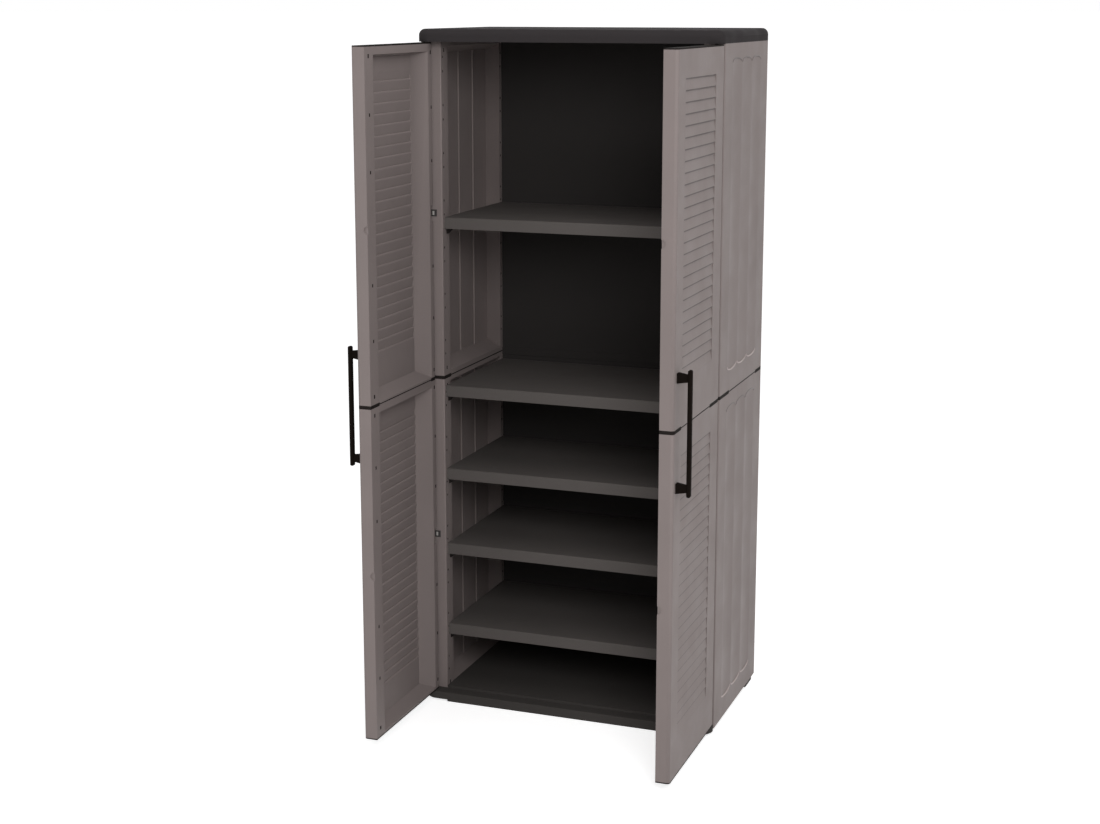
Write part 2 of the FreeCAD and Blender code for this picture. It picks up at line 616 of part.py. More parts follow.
def top_cap():
    """Lid that plugs into the side panels and overhangs the doors."""
    body = new_body("top_cap", "0", "0", CAP_Z)
    nose = f"({FRONT} - lip_depth)"
    ceiling = "cap_height - cap_roof"
    block(body, "Blank", ("0", "cap_height"), ((f"-{HALF}", HALF), (nose, BACK)))
    round_uprights(body, "FrontCorners", [(f"-{HALF}", nose), (HALF, nose)], "cap_corner")
    roof, rear = number("cap_height"), number(BACK)
    ease(body, "Fillet", "TopEdge", lambda shape: [
        edge for edge in edges_at(shape, "z", roof) if shape.getElement(edge).BoundBox.YMin < rear - NEAR
    ], "cap_round")
    hollow(body, "Inside", ("0", ceiling),
           ((f"-{INNER}", INNER), (f"{FRONT} + cap_wall", f"{BACK} - {BACK_FACE}")))
    cut_cells(body, "NoseCell", (f"-{INNER}", INNER), (f"{nose} + cap_front_wall - cap_wall", FRONT),
              "cap_wall", "lip_columns", "1", ("0", ceiling))
    block(body, "Tenons", ("-tenon_length", "0"),
          *both_sides(from_side(POST_TENON_X), from_front(POST_TENON_Y)))
    for label, sign in (("Right", ""), ("Left", "-")):
        bore(body, f"PinSocket{label}", f"{sign}{AXIS_X}", AXIS_Y, "pin_radius + running_clearance",
             ("0", "pin_engagement + fit_clearance"))
    return body


# Shelves and the clips that carry them
def shelf(name, top):
    """Shelf with a turned-down edge and ribs underneath."""
    body = new_body(name, "0", f"{FRONT} + shelf_front", f"{top} - shelf_height")
    half = f"({INNER} - shelf_gap)"
    depth = f"(carcass_depth - shelf_front - {BACK_FACE} - back_flange - shelf_gap)"
    block(body, "Blank", ("0", "shelf_height"), ((f"-{half}", half), ("0", depth)))
    top_z = number("shelf_height")
    ease(body, "Fillet", "FrontEdge", lambda shape: [
        edge for edge in edges_at(shape, "z", top_z) if shape.getElement(edge).BoundBox.YMax < NEAR
    ], "shelf_round")
    cut_cells(body, "Cell", (f"-{half}", half), ("0", depth), "shelf_wall", "shelf_columns", "shelf_rows",
              ("0", "shelf_height - shelf_wall"))
    return body


def shelf_clips(shelf_tops):
    """All the right-hand shelf clips: a gusset and a plug for each."""
    body = new_body("shelf_clips_right", INNER, f"{FRONT} + clip_column", "0")
    body.AllowCompound = True
    gussets = draw(body, "Gusset", "XZ_Plane", "-clip_width / 2")
    plugs = draw(body, "Plug", "XZ_Plane", "-peg_hole / 2")
    for index, top in shelf_tops:
        under = f"({top} - shelf_height)"
        outline(gussets, [
            ("-clip_reach", under), ("0", under), ("0", f"{under} - clip_drop"),
            ("-clip_toe", f"{under} - clip_drop"), ("-clip_reach", f"{under} - clip_toe"),
        ])
        rectangle(plugs, ("0", "peg_hole_depth"), (f"{under} - plug_drop - peg_hole", f"{under} - plug_drop"))
    gusset = extrude(body, "Pad", "Gusset", gussets, "clip_width")
    plug = extrude(body, "Pad", "Plug", plugs, "peg_hole")
    repeat(body, "Clips", [gusset, plug], "Y", f"{REAR_COLUMN} - clip_column", "2")
    return body


# Doors: two louvred panels, a seam connector, two end plates and a handle
FREE_TENON_Y = (f"({FREE} + free_tenon_inset)", f"({FREE} + free_tenon_inset + free_tenon_length)")
MIDDLE = ("(-door_tenon_width / 2)", "(door_tenon_width / 2)")
DOOR_TENONS = ((MIDDLE, FREE_TENON_Y), (MIDDLE, MIDDLE))
THICKNESS = (f"-{HINGE}", HINGE)
DOOR_SKIN = (f"{HINGE} - collar_skin", HINGE)
FIELD = (f"{FREE} + collar_free", f"{HINGE} - collar_hinge")
FIELD_INSIDE = (f"{FREE} + free_stile + collar_lap", f"{HINGE} - hinge_stile - collar_lap")
DOOR_COLLARS = ((THICKNESS, (FREE, FIELD_INSIDE[0])), (THICKNESS, (FIELD_INSIDE[1], HINGE)))
DOOR_COLLAR_ENDS = ((DOOR_SKIN, (FREE, FIELD[0])), (DOOR_SKIN, (FIELD[1], HINGE)))


def door_outline(body, up):
    """The door's plan as a solid: a slab with a round hinge edge."""
    block(body, "Slab", up, ((f"-{HINGE}", HINGE), (FREE, "0")))
    round_uprights(body, "Rounding", [(HINGE, FREE)], "door_round")
    cylinder(body, "HingeEdge", "0", "0", HINGE, up)


def cut_louvres(body, height):
    """Overlapping slats: a sloping cut outside and its twin inside."""
    start = f"({FREE} + louvre_inset)"
    top = f"({height} - louvre_top)"
    low = f"({top} - louvre_pitch)"
    floor = f"({HINGE} - door_wall)"
    crest = f"({HINGE} - louvre_sunk)"
    sketch = draw(body, "Slat", "XZ_Plane", f"-{start}")
    outline(sketch, [
        (HINGE, top),
        (f"{crest} - louvre_tooth", top),
        (crest, low),
        (HINGE, f"{low} - louvre_nose"),
    ])
    outline(sketch, [
        (floor, top),
        (f"{floor} + louvre_tooth", f"{low} + louvre_ledge"),
        (floor, f"{low} + louvre_ledge"),
    ])
    slat = extrude(body, "Pocket", "Slat", sketch, "louvre_width")
    slats = f"floor(({height} - louvre_top - louvre_bottom) / louvre_pitch)"
    repeat(body, "Slats", [slat], "Z", "louvre_pitch", slats, reverse=True)


def cut_hinge(body, middle):
    """Notch for a hinge bracket, with the moulded pin that crosses it."""
    reach = "(clip_eye_radius + clip_clearance)"
    up = (f"{middle} - bracket_notch / 2", f"{middle} + bracket_notch / 2")
    hollow(body, "BracketNotch", up, ((f"-{HINGE}", reach), (f"-{reach}", HINGE)))
    cylinder(body, "BracketPin", "0", "0", "clip_pin_radius", up)


def door_panel(name, panel_z, height, clip_z, stud_z, seam_on_top):
    """One louvred panel of the right-hand door."""
    body = new_body(name, AXIS_X, AXIS_Y, panel_z)
    door_outline(body, ("0", height))
    mouth = ((f"{FREE} + free_stile", f"{HINGE} - hinge_stile"), ("bottom_rail", f"{height} - top_rail"))
    floor = ((f"{FREE} + free_stile + stile_slope", f"{HINGE} - hinge_stile - hinge_slope"),
             ("bottom_rail + bottom_slope", f"{height} - top_rail - top_slope"))
    taper(body, "Subtractive", "Dish", (f"-{HINGE}", *mouth), (f"{HINGE} - door_wall", *floor))
    reach = "(tenon_length + fit_clearance)"
    sockets = [(grow(across), grow(along)) for across, along in DOOR_TENONS]
    hollow(body, "SocketsLow", ("0", reach), *sockets)
    hollow(body, "SocketsHigh", (f"{height} - {reach}", height), *sockets)
    free_middle = f"({FREE} + free_tenon_inset + free_tenon_length / 2)"
    recess(body, "SnapWindows", f"-{HINGE}", f"{HINGE} - door_tenon_width / 2", *[
        ((f"{place} - window_width / 2", f"{place} + window_width / 2"),
         (f"{level} - window_height / 2", f"{level} + window_height / 2"))
        for place in (free_middle, "0") for level in ("window_drop", f"({height} - window_drop)")
    ])
    collar = (f"{height} - collar_height", height) if seam_on_top else ("0", "collar_height")
    hollow(body, "CollarSeats", collar, *DOOR_COLLARS)
    hollow(body, "CollarEndSeats", collar, *DOOR_COLLAR_ENDS)
    middle = f"({clip_z} - {panel_z})"
    cut_hinge(body, middle)
    notch = draw(body, "FingerNotch", "XZ_Plane", f"-{FREE}")
    circle(notch, f"-{HINGE}", middle, "finger_radius")
    extrude(body, "Pocket", "FingerNotch", notch, "finger_depth")
    seat = "(stud_size / 2 + fit_clearance)"
    bar = f"({FREE} + handle_inset)"
    stud = f"({stud_z} - {panel_z})"
    recess(body, "StudHole", f"{HINGE} - stud_length - fit_clearance", "stud_length + fit_clearance",
           ((f"{bar} - {seat}", f"{bar} + {seat}"), (f"{stud} - {seat}", f"{stud} + {seat}")))
    cut_louvres(body, height)
    return body


def door_connector():
    """Plate, collars and tenons that join the right-hand door's panels."""
    body = new_body("door_connector_right", AXIS_X, AXIS_Y, SEAM_Z)
    door_outline(body, ("-collar_height", "seam_plate + collar_height"))
    levels = {"Low": ("-collar_height", "0"), "High": ("seam_plate", "seam_plate + collar_height")}
    for label, up in levels.items():
        hollow(body, f"Field{label}", up, (THICKNESS, FIELD))
        hollow(body, f"FieldInside{label}", up, ((f"-{HINGE}", DOOR_SKIN[0]), FIELD_INSIDE))
    block(body, "Tenons", ("-tenon_length", "seam_plate + tenon_length"), *DOOR_TENONS)
    return body


def door_end_plate(name, panel_end_z, upward):
    """Plate that closes a door's end and carries its hinge pin."""
    body = new_body(name, AXIS_X, AXIS_Y, panel_end_z)
    door_outline(body, ("0", "end_plate") if upward else ("-end_plate", "0"))
    block(body, "Tenons", ("-tenon_length", "0") if upward else ("0", "tenon_length"), *DOOR_TENONS)
    tip = "(end_plate + door_clearance + pin_engagement)"
    cylinder(body, "Pin", "0", "0", "pin_radius", ("end_plate", tip) if upward else (f"-{tip}", "-end_plate"))
    return body


def hinge_brackets():
    """The right-hand side's two brackets: an eye, and an arm that plugs in."""
    body = new_body("hinge_brackets_right", AXIS_X, AXIS_Y, CLIP_LOW_Z)
    body.AllowCompound = True
    height = ("-clip_eye_height / 2", "clip_eye_height / 2")
    eye = cylinder(body, "Eye", "0", "0", "clip_eye_radius", height)
    arm = block(body, "Arm", height,
                (("-clip_arm / 2", "clip_arm / 2"), ("0", f"{HINGE} + door_gap + clip_grip")))
    hole = bore(body, "PinHole", "0", "0", "clip_pin_radius + running_clearance", height)
    repeat(body, "Brackets", [eye, arm, hole], "Z", f"{CLIP_HIGH_Z} - {CLIP_LOW_Z}", "2")
    return body


def handle():
    """Upright bar on two posts, plugged into both panels of the door."""
    body = new_body("handle_right", HALF, f"{AXIS_Y} + {FREE} + handle_inset", HANDLE_Z)
    outer = "(handle_standoff + bar_thickness)"
    half_width = "(bar_width / 2)"
    block(body, "Bar", ("-handle_length / 2", "handle_length / 2"),
          (("handle_standoff", outer), (f"-{half_width}", half_width)))
    ease(body, "Chamfer", "BarEdges",
         lambda shape: [f"Edge{index}" for index in range(1, len(shape.Edges) + 1)], "bar_edge")
    for label, middle in (("Low", "(-handle_span / 2)"), ("High", "(handle_span / 2)")):
        near, far = [
            (x, (f"-{across} / 2", f"{across} / 2"),
             (f"{middle} - {upright} / 2", f"{middle} + {upright} / 2"))
            for x, across, upright in (("0", "post_foot_width", "post_foot_height"),
                                       ("handle_standoff", "post_neck_width", "post_neck_height"))
        ]
        taper(body, "Additive", f"Post{label}", near, far)
    studs = draw(body, "Studs", "YZ_Plane", "-stud_length")
    side = ("-stud_size / 2", "stud_size / 2")
    for middle in ("(-handle_span / 2)", "(handle_span / 2)"):
        rectangle(studs, side, (f"{middle} - stud_size / 2", f"{middle} + stud_size / 2"))
    extrude(body, "Pad", "Studs", studs, "stud_length")
    return body


# The whole cabinet: each right-hand piece, then its left-hand twin
STUD_LOW_Z = f"({HANDLE_Z} - handle_span / 2)"
STUD_HIGH_Z = f"({HANDLE_Z} + handle_span / 2)"
SHELF_TOPS = [(1, f"({UPPER_Z} + shelf_1_rise)")]
SHELF_TOPS += [(index, f"({SEAM_Z} - shelf_{index}_drop)") for index in range(2, 6)]

base_tray()
right_hand = [
    side_panel("side_right_lower", "foot_height", CLIP_LOW_Z, SHELF_TOPS[1:], True),
    side_panel("side_right_upper", UPPER_Z, CLIP_HIGH_Z, SHELF_TOPS[:1], False),
    side_connector(),
    shelf_clips(SHELF_TOPS),
    hinge_brackets(),
    door_panel("door_right_lower", DOOR_LOW_Z, DOOR_LOW_HEIGHT, CLIP_LOW_Z, STUD_LOW_Z, True),
    door_panel("door_right_upper", UPPER_Z, DOOR_HIGH_HEIGHT, CLIP_HIGH_Z, STUD_HIGH_Z, False),
    door_connector(),
    door_end_plate("door_top_plate_right", DOOR_TOP_Z, True),
    door_end_plate("door_bottom_plate_right", DOOR_LOW_Z, False),
    handle(),
]
for piece in right_hand:
    mirrored(piece, piece.Label.replace("right", "left"))
back_panel("back_lower", "foot_height")
back_panel("back_upper", UPPER_Z)
back_connector()
top_cap()
for index, top in SHELF_TOPS:
    shelf(f"shelf_{index}", top)
doc.recompute()

# Every feature has to have worked, and each cut has to have cut
ADDS = ("PartDesign::Pad", "PartDesign::AdditiveWedge")
CUTS = ("PartDesign::Pocket", "PartDesign::SubtractiveWedge", "PartDesign::Groove")
for thing in doc.Objects:
    if "Invalid" in thing.State or "Error" in thing.State:
        raise RuntimeError(f"{thing.Name} ({thing.Label}) failed: {thing.State}")
    base = getattr(thing, "BaseFeature", None)
    if base is None or thing.TypeId not in ADDS + CUTS:
        continue
    change = thing.Shape.Volume - base.Shape.Volume
    if (change <= 0) == (thing.TypeId in ADDS):
        owner = thing.getParentGeoFeatureGroup().Label
        raise RuntimeError(f"{thing.Name} changed the volume of {owner} by {change}")

os.makedirs("parts", exist_ok=True)
for node in NODES:
    if node.Shape.isNull() or not node.Shape.isValid():
        raise RuntimeError(f"{node.Label} has no valid shape")
for node in NODES:
    node.Shape.exportStep(f"parts/{node.Label}.step")
    print(f"{node.Label}: {len(node.Shape.Solids)} solid, {node.Shape.Volume / 1000:.1f} cm3")
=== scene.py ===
"""Looks of a garden storage cabinet with two louvred doors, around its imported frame."""

import math

import bmesh
import bpy
from bpy.props import FloatProperty, FloatVectorProperty, PointerProperty
from mathutils import Matrix, Vector


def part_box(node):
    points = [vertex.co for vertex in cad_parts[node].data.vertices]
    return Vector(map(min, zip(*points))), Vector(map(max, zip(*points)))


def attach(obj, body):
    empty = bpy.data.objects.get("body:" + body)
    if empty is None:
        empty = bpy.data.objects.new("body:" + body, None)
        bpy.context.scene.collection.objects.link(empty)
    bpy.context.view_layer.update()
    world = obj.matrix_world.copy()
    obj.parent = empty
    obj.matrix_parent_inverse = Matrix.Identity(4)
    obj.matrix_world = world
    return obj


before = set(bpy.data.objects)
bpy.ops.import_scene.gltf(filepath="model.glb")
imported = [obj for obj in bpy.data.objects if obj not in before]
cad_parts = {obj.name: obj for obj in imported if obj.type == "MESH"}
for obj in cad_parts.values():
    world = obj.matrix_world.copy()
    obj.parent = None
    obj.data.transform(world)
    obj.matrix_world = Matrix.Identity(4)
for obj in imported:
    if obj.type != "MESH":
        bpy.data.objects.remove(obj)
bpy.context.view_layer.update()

bl_info = {
    "name": "Garden storage cabinet",
    "version": (1, 0, 0),
    "blender": (4, 5, 0),
    "location": "View3D > Sidebar > Cabinet",
    "description": "Materials, fine details and stage of a resin storage cabinet with louvred doors",
    "category": "Object",
}

MM = 0.001
SIDES = ("right", "left")
LEVELS = ("lower", "upper")
SHELF_COUNT = 5
OUTWARD = {"right": 1, "left": -1}
DOOR_BODY = {"right": "right_door", "left": "left_door"}

# Louvres of a door panel, from its free edge and its top, with a wedge's tooth and ledge
SLAT_COUNT = 26
SLAT_START = 60 * MM
SLAT_LENGTH = 258 * MM
SLAT_TOP = 64 * MM
SLAT_PITCH = 26.4 * MM
SLAT_LEDGE = 3 * MM
SLAT_TOOTH = 3.8 * MM
DISH_WALL = 7 * MM

# Rounded crests inside the doors, in the paler edge material, and strips of painted shadow under the
# slats outside
CREST_SIDES = 16
CREST_CLEAR = 0.1 * MM
CREST_LIFT = 0.4
SLAT_SHADOW_HEIGHT = 3 * MM
SLAT_SHADOW_DEPTH = 2.4 * MM
SLAT_SHADOW_PROUD = 0.2 * MM
SLAT_SHADOW_DARKENING = 0.5

# Flutes of a side panel, and the beads round their ends, painted paler at the low ends as a highlight
# and darker at the high ends as shade
FLUTE_COUNT = 3
FLUTE_START = 69 * MM
FLUTE_PITCH = 97 * MM
FLUTE_WIDTH = 88 * MM
FLUTE_LOW = 54 * MM
FLUTE_HIGH = 36 * MM
RIM_RISE = 10 * MM
RIM_RADIUS = 2 * MM
RIM_SUNK = 0.9 * MM
RIM_SIDES = 8
RIM_STEPS = 16

# Hinge brackets, with the width, thickness and height of what shows on the posts: a dark flange, and a
# pale plate at the pin that is a painted highlight
BRACKET_HALF = 12 * MM
EYE_SIDE = 4 * MM
FLANGE_SIZE = (19 * MM, 0.75 * MM, 18 * MM)
PIN_SIZE = (5 * MM, 0.85 * MM, 10 * MM)

# Painted shade: thickness of the near-black plate laid at the ground of each small hole
HOLE_SHADE_THICKNESS = 0.6 * MM

# Snap windows near the ends of posts and stiles, and how far in the plate of painted shade at their
# ground lies
WINDOW_SIZE = (7.6 * MM, 9.6 * MM)
WINDOW_DROP = 22 * MM
WINDOW_DEPTH = 1 * MM
FREE_WINDOW = 23 * MM
HINGE_AXIS = 17.5 * MM
POST_WINDOW = 21 * MM

# Columns of paired peg holes on the posts, and how far in the plate of painted shade at their ground
# lies
HOLE_SIZE = (5.6 * MM, 5.6 * MM)
HOLE_DEPTH = 0.8 * MM
HOLE_PAIRS = 7
HOLE_FIRST = 61 * MM
HOLE_GAP = 36 * MM
HOLE_PITCH = 122 * MM
FRONT_HOLES = 13 * MM
REAR_HOLES = 19.5 * MM

# Core marks on the stiles, above and below each bracket: near-black plates of painted shade that stand
# in for small holes
MARK_SIZE = (5 * MM, 8 * MM)
MARK_PITCH = 136 * MM
MARK_STEPS = (-2, -1, 1, 2)
MARK_PROUD = 0.15 * MM

# Patterns of the plastic: how many to a metre, and how much they change
NOISE_RANGE = (0.3, 0.7)
CLOUD_SCALE = 5
PATCH_SCALE = 14
WAVE_SCALE = 9
WAVE_STRETCH = (1, 1, 0.35)
WAVE_HEIGHT = 1.5 * MM
WAVE_STRENGTH = 0.03
SPECKLE_SHARE = 0.6
SPECKLE_CHANGE = 0.03
ROUGHNESS_CHANGE = 0.06
SMOOTH_GRAIN = 0.25
RESIN_IOR = 1.49

# Rounding of the mouldings' edges
WELD_DISTANCE = 0.001 * MM
SHARP_ANGLE = math.radians(40)
EDGE_SEGMENTS = 2

# Painted shade in the small holes: near-black tones, the scale of their pattern, and roughness
HOLE_SHADE_COLOURS = ((0.005, 0.004, 0.004, 1), (0.012, 0.010, 0.009, 1))
HOLE_SHADE_SCALE = 60
HOLE_SHADE_ROUGHNESS = 0.95

# Floor, and each light's name, place, point that it faces and width, in metres
FLOOR_RADIUS = 400
FLOOR_SIDES = 96
FLOOR_ROUGHNESS = 0.9
FLOOR_GLOSS = 0.1
SENSOR_WIDTH = 36
LIGHTS = (
    ("front", (2.2, -4.5, 3.0), (0, 0, 0.9), 2.2),
    ("key", (4.6, -1.4, 3.6), (0, 0, 0.9), 1.8),
    ("fill", (-3.6, -3.8, 2.4), (0, 0, 0.9), 3.0),
    ("top", (0.6, -1.4, 4.6), (0, -0.3, 0.9), 3.6),
)


def colour(name, value, description):
    """Colour that a user can change."""
    return FloatVectorProperty(
        name=name, description=description, default=value, size=3, min=0, max=1, subtype="COLOR"
    )


def length(name, value, description):
    """Length that a user can change."""
    return FloatProperty(
        name=name, description=description, default=value, min=0, subtype="DISTANCE", unit="LENGTH"
    )


def share(name, value, description):
    """Share between 0 and 1 that a user can change."""
    return FloatProperty(
        name=name, description=description, default=value, min=0, max=1, subtype="FACTOR"
    )


def lamp_power(name, value, description):
    """Power of a lamp in watts that a user can change."""
    return FloatProperty(name=name, description=description, default=value, min=0, unit="POWER")


class CabinetColours(bpy.types.PropertyGroup):
    """Colours of the mouldings, in linear light"""

    panel: colour("Panels", (0.221, 0.186, 0.179), "Taupe of the side panels and doors")
    base: colour("Base", (0.058, 0.053, 0.050), "Dark brown of the base tray")
    cap: colour("Cap", (0.035, 0.031, 0.032), "Dark brown of the top cap")
    shelf: colour("Shelves", (0.102, 0.092, 0.087), "Dark brown of the shelves")
    back: colour("Back", (0.034, 0.031, 0.030), "Dark brown of the back panels")
    trim: colour("Trim", (0.018, 0.015, 0.014), "Dark brown of connectors, end plates and clips")
    # Painted highlight: pale tint of the plate that stands in for the glint on a bracket's pin
    pin: colour("Pins", (0.44, 0.42, 0.40), "Pale end of a hinge bracket's pin")
    handle: colour("Handles", (0.007, 0.005, 0.004), "Dark brown of the handles")


class CabinetFinish(bpy.types.PropertyGroup):
    """How the moulded plastic looks close up"""

    grain_size: length("Grain size", 0.9 * MM, "Width of one pebble of the moulded grain")
    grain_depth: length("Grain depth", 0.06 * MM, "Depth of the moulded grain")
    roughness: share("Roughness", 0.52, "Roughness of grained faces")
    smooth_roughness: share("Smooth roughness", 0.38, "Roughness of smooth faces and rubbed edges")
    mottle: share("Mottle", 0.03, "How much the colour varies over a moulding")
    gloss: share("Gloss", 0.12, "Strength of the pale plastic's reflection")
    dark_gloss: share("Dark gloss", 0.02, "Strength of the dark plastic's reflection")
    dark_roughness: share("Dark roughness", 0.66, "Roughness of the dark plastic")
    # Paler edges: partly rubbed wear, partly a painted highlight along each edge
    edge_wear_and_highlight: share("Rubbed edges", 0.15, "How much paler the rubbed edges are")
    edge_radius: length("Edge radius", 0.8 * MM, "Radius of the mouldings' edges")
    # Painted light: lower rims paler as a highlight, upper rims darker as shade, as from light overhead
    rim_highlight: share("Pale rims", 1.0, "How much paler the flutes' lower rims are")
    rim_shade: share("Dark rims", 0.35, "How much darker the flutes' upper rims are")
    crest_radius: length("Crest radius", 2.4 * MM, "Radius of the slats' crests inside the doors")


class CabinetStage(bpy.types.PropertyGroup):
    """Floor, lights and camera"""

    floor: colour("Floor", (0.80, 0.80, 0.80), "Colour of the floor")
    floor_glow: share("Floor glow", 0.65, "White that the camera sees on the floor")
    world_light: FloatProperty(name="Sky", description="Strength of the even light", default=0.5, min=0)
    front_power: lamp_power("Front", 107, "Power of the light in front")
    key_power: lamp_power("Key", 28, "Power of the light from the right")
    fill_power: lamp_power("Fill", 25, "Power of the light from the left")
    top_power: lamp_power("Top", 24, "Power of the light overhead")
    camera_place: FloatVectorProperty(
        name="Camera", description="Place of the camera", default=(1.5402, -4.5092, 1.8456),
        subtype="TRANSLATION", unit="LENGTH",
    )
    camera_turn: FloatProperty(
        name="Turn", description="Turn of the camera to the left", default=math.radians(20.3),
        subtype="ANGLE",
    )
    camera_tilt: FloatProperty(
        name="Tilt", description="Tilt of the camera down", default=math.radians(10.98),
        subtype="ANGLE",
    )
    lens: FloatProperty(name="Lens", description="Focal length in mm", default=59.64, min=1)
    drop: FloatProperty(name="Drop", description="Vertical shift of the lens", default=-0.05)


def nodes_of(material):
    """Clears a material and gives its node tree with a shader and an output."""
    material.use_nodes = True
    tree = material.node_tree
    tree.nodes.clear()
    shader = tree.nodes.new("ShaderNodeBsdfPrincipled")
    output = tree.nodes.new("ShaderNodeOutputMaterial")
    tree.links.new(shader.outputs["BSDF"], output.inputs["Surface"])
    return tree, shader


def noise(tree, place, scale, detail, stretch=(1, 1, 1)):
    """Noise on the object's own coordinates, with its pattern stretched along an axis."""
    mapping = tree.nodes.new("ShaderNodeMapping")
    mapping.inputs["Scale"].default_value = stretch
    tree.links.new(place, mapping.inputs["Vector"])
    texture = tree.nodes.new("ShaderNodeTexNoise")
    texture.inputs["Scale"].default_value = scale
    texture.inputs["Detail"].default_value = detail
    tree.links.new(mapping.outputs["Vector"], texture.inputs["Vector"])
    return texture.outputs["Fac"]


def spread(tree, value, middle, change):
    """Maps a noise value to a range that reaches that far to both sides of its middle."""
    node = tree.nodes.new("ShaderNodeMapRange")
    node.inputs["From Min"].default_value = NOISE_RANGE[0]
    node.inputs["From Max"].default_value = NOISE_RANGE[1]
    node.inputs["To Min"].default_value = middle - change
    node.inputs["To Max"].default_value = middle + change
    tree.links.new(value, node.inputs["Value"])
    return node.outputs["Result"]


def bump(tree, height, distance, strength, before=None):
    """Relief on a surface, on top of an earlier one if given."""
    node = tree.nodes.new("ShaderNodeBump")
    node.inputs["Distance"].default_value = distance
    node.inputs["Strength"].default_value = strength
    tree.links.new(height, node.inputs["Height"])
    if before is not None:
        tree.links.new(before, node.inputs["Normal"])
    return node.outputs["Normal"]


def mottled(tree, place, tint, finish):
    """A tint that varies in wide clouds and fine speckles."""
    cloud = noise(tree, place, CLOUD_SCALE, detail=3)
    speckle = noise(tree, place, SPECKLE_SHARE / finish.grain_size, detail=1)
    mixed = tree.nodes.new("ShaderNodeMath")
    mixed.operation = "MULTIPLY"
    tree.links.new(spread(tree, cloud, 1, finish.mottle), mixed.inputs[0])
    tree.links.new(spread(tree, speckle, 1, SPECKLE_CHANGE), mixed.inputs[1])
    shade = tree.nodes.new("ShaderNodeMix")
    shade.data_type = "RGBA"
    shade.blend_type = "MULTIPLY"
    shade.inputs["Factor"].default_value = 1
    shade.inputs["A"].default_value = (*tint, 1)
    tree.links.new(mixed.outputs["Value"], shade.inputs["B"])
    return shade.outputs["Result"]


def plastic(name, tint, finish, grained=True, pale=0, dark=False):
    """Moulded plastic: mottled colour, grain or smooth skin, slight waves and uneven gloss."""
    material = bpy.data.materials.new(name)
    tree, shader = nodes_of(material)
    place = tree.nodes.new("ShaderNodeTexCoord").outputs["Object"]

    tint = [part * (1 + pale) for part in tint]
    tree.links.new(mottled(tree, place, tint, finish), shader.inputs["Base Color"])

    rough = finish.roughness if grained else finish.smooth_roughness
    if dark:
        rough = finish.dark_roughness
    patch = noise(tree, place, PATCH_SCALE, detail=2)
    tree.links.new(spread(tree, patch, rough, ROUGHNESS_CHANGE), shader.inputs["Roughness"])

    wave = noise(tree, place, WAVE_SCALE, detail=1, stretch=WAVE_STRETCH)
    normal = bump(tree, wave, WAVE_HEIGHT, WAVE_STRENGTH)
    grain = noise(tree, place, 1 / finish.grain_size, detail=2)
    depth = finish.grain_depth if grained else finish.grain_depth * SMOOTH_GRAIN
    normal = bump(tree, grain, depth, 1, normal)
    tree.links.new(normal, shader.inputs["Normal"])
    shader.inputs["IOR"].default_value = RESIN_IOR
    shader.inputs["Specular IOR Level"].default_value = finish.dark_gloss if dark else finish.gloss
    return material


def dress(names, main, edge, radius):
    """Gives CAD nodes their material and rounds their sharp edges a little."""
    for name in names:
        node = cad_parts[name]
        node.data.materials.clear()
        node.data.materials.append(main)
        node.data.materials.append(edge)
        weld = node.modifiers.new("Join faces", "WELD")
        weld.merge_threshold = WELD_DISTANCE
        rounding = node.modifiers.new("Rounded edges", "BEVEL")
        rounding.width = radius
        rounding.segments = EDGE_SEGMENTS
        rounding.limit_method = "ANGLE"
        rounding.angle_limit = SHARP_ANGLE
        rounding.harden_normals = True
        rounding.material = 1
        rounding.use_clamp_overlap = True


def dress_in(scene, names, kind, grained=True):
    """Dresses nodes in plastic of one of the cabinet's colours, with paler edges that are partly rubbed
    wear and partly painted highlight.
    """
    finish = scene.cabinet_finish
    tint = getattr(scene.cabinet_colours, kind)
    dark = kind != "panel"
    main = plastic(f"{kind}_plastic", tint, finish, grained, dark=dark)
    # Paler edges: partly rubbed wear, partly a painted highlight
    edge = plastic(f"{kind}_edges", tint, finish, grained=False, pale=finish.edge_wear_and_highlight, dark=dark)
    dress(names, main, edge, finish.edge_radius)


class CABINET_OT_panels(bpy.types.Operator):
    """Dress the side panels and door panels in grained taupe plastic"""

    bl_idname = "cabinet.panels"
    bl_label = "Side and door panels"

    def execute(self, context):
        names = [
            f"{kind}_{side}_{level}"
            for kind in ("side", "door")
            for side in SIDES
            for level in LEVELS
        ]
        dress_in(context.scene, names, "panel")
        return {"FINISHED"}


class CABINET_OT_base(bpy.types.Operator):
    """Dress the base tray in dark grained plastic"""

    bl_idname = "cabinet.base"
    bl_label = "Base tray"

    def execute(self, context):
        dress_in(context.scene, ["base_tray"], "base")
        return {"FINISHED"}


class CABINET_OT_cap(bpy.types.Operator):
    """Dress the top cap in dark grained plastic"""

    bl_idname = "cabinet.cap"
    bl_label = "Top cap"

    def execute(self, context):
        dress_in(context.scene, ["top_cap"], "cap")
        return {"FINISHED"}


class CABINET_OT_shelves(bpy.types.Operator):
    """Dress the five shelves"""

    bl_idname = "cabinet.shelves"
    bl_label = "Shelves"

    def execute(self, context):
        dress_in(context.scene, [f"shelf_{number + 1}" for number in range(SHELF_COUNT)], "shelf")
        return {"FINISHED"}


class CABINET_OT_back(bpy.types.Operator):
    """Dress the back panels and the strip between them"""

    bl_idname = "cabinet.back"
    bl_label = "Back"

    def execute(self, context):
        dress_in(context.scene, ["back_lower", "back_upper", "back_connector"], "back")
        return {"FINISHED"}


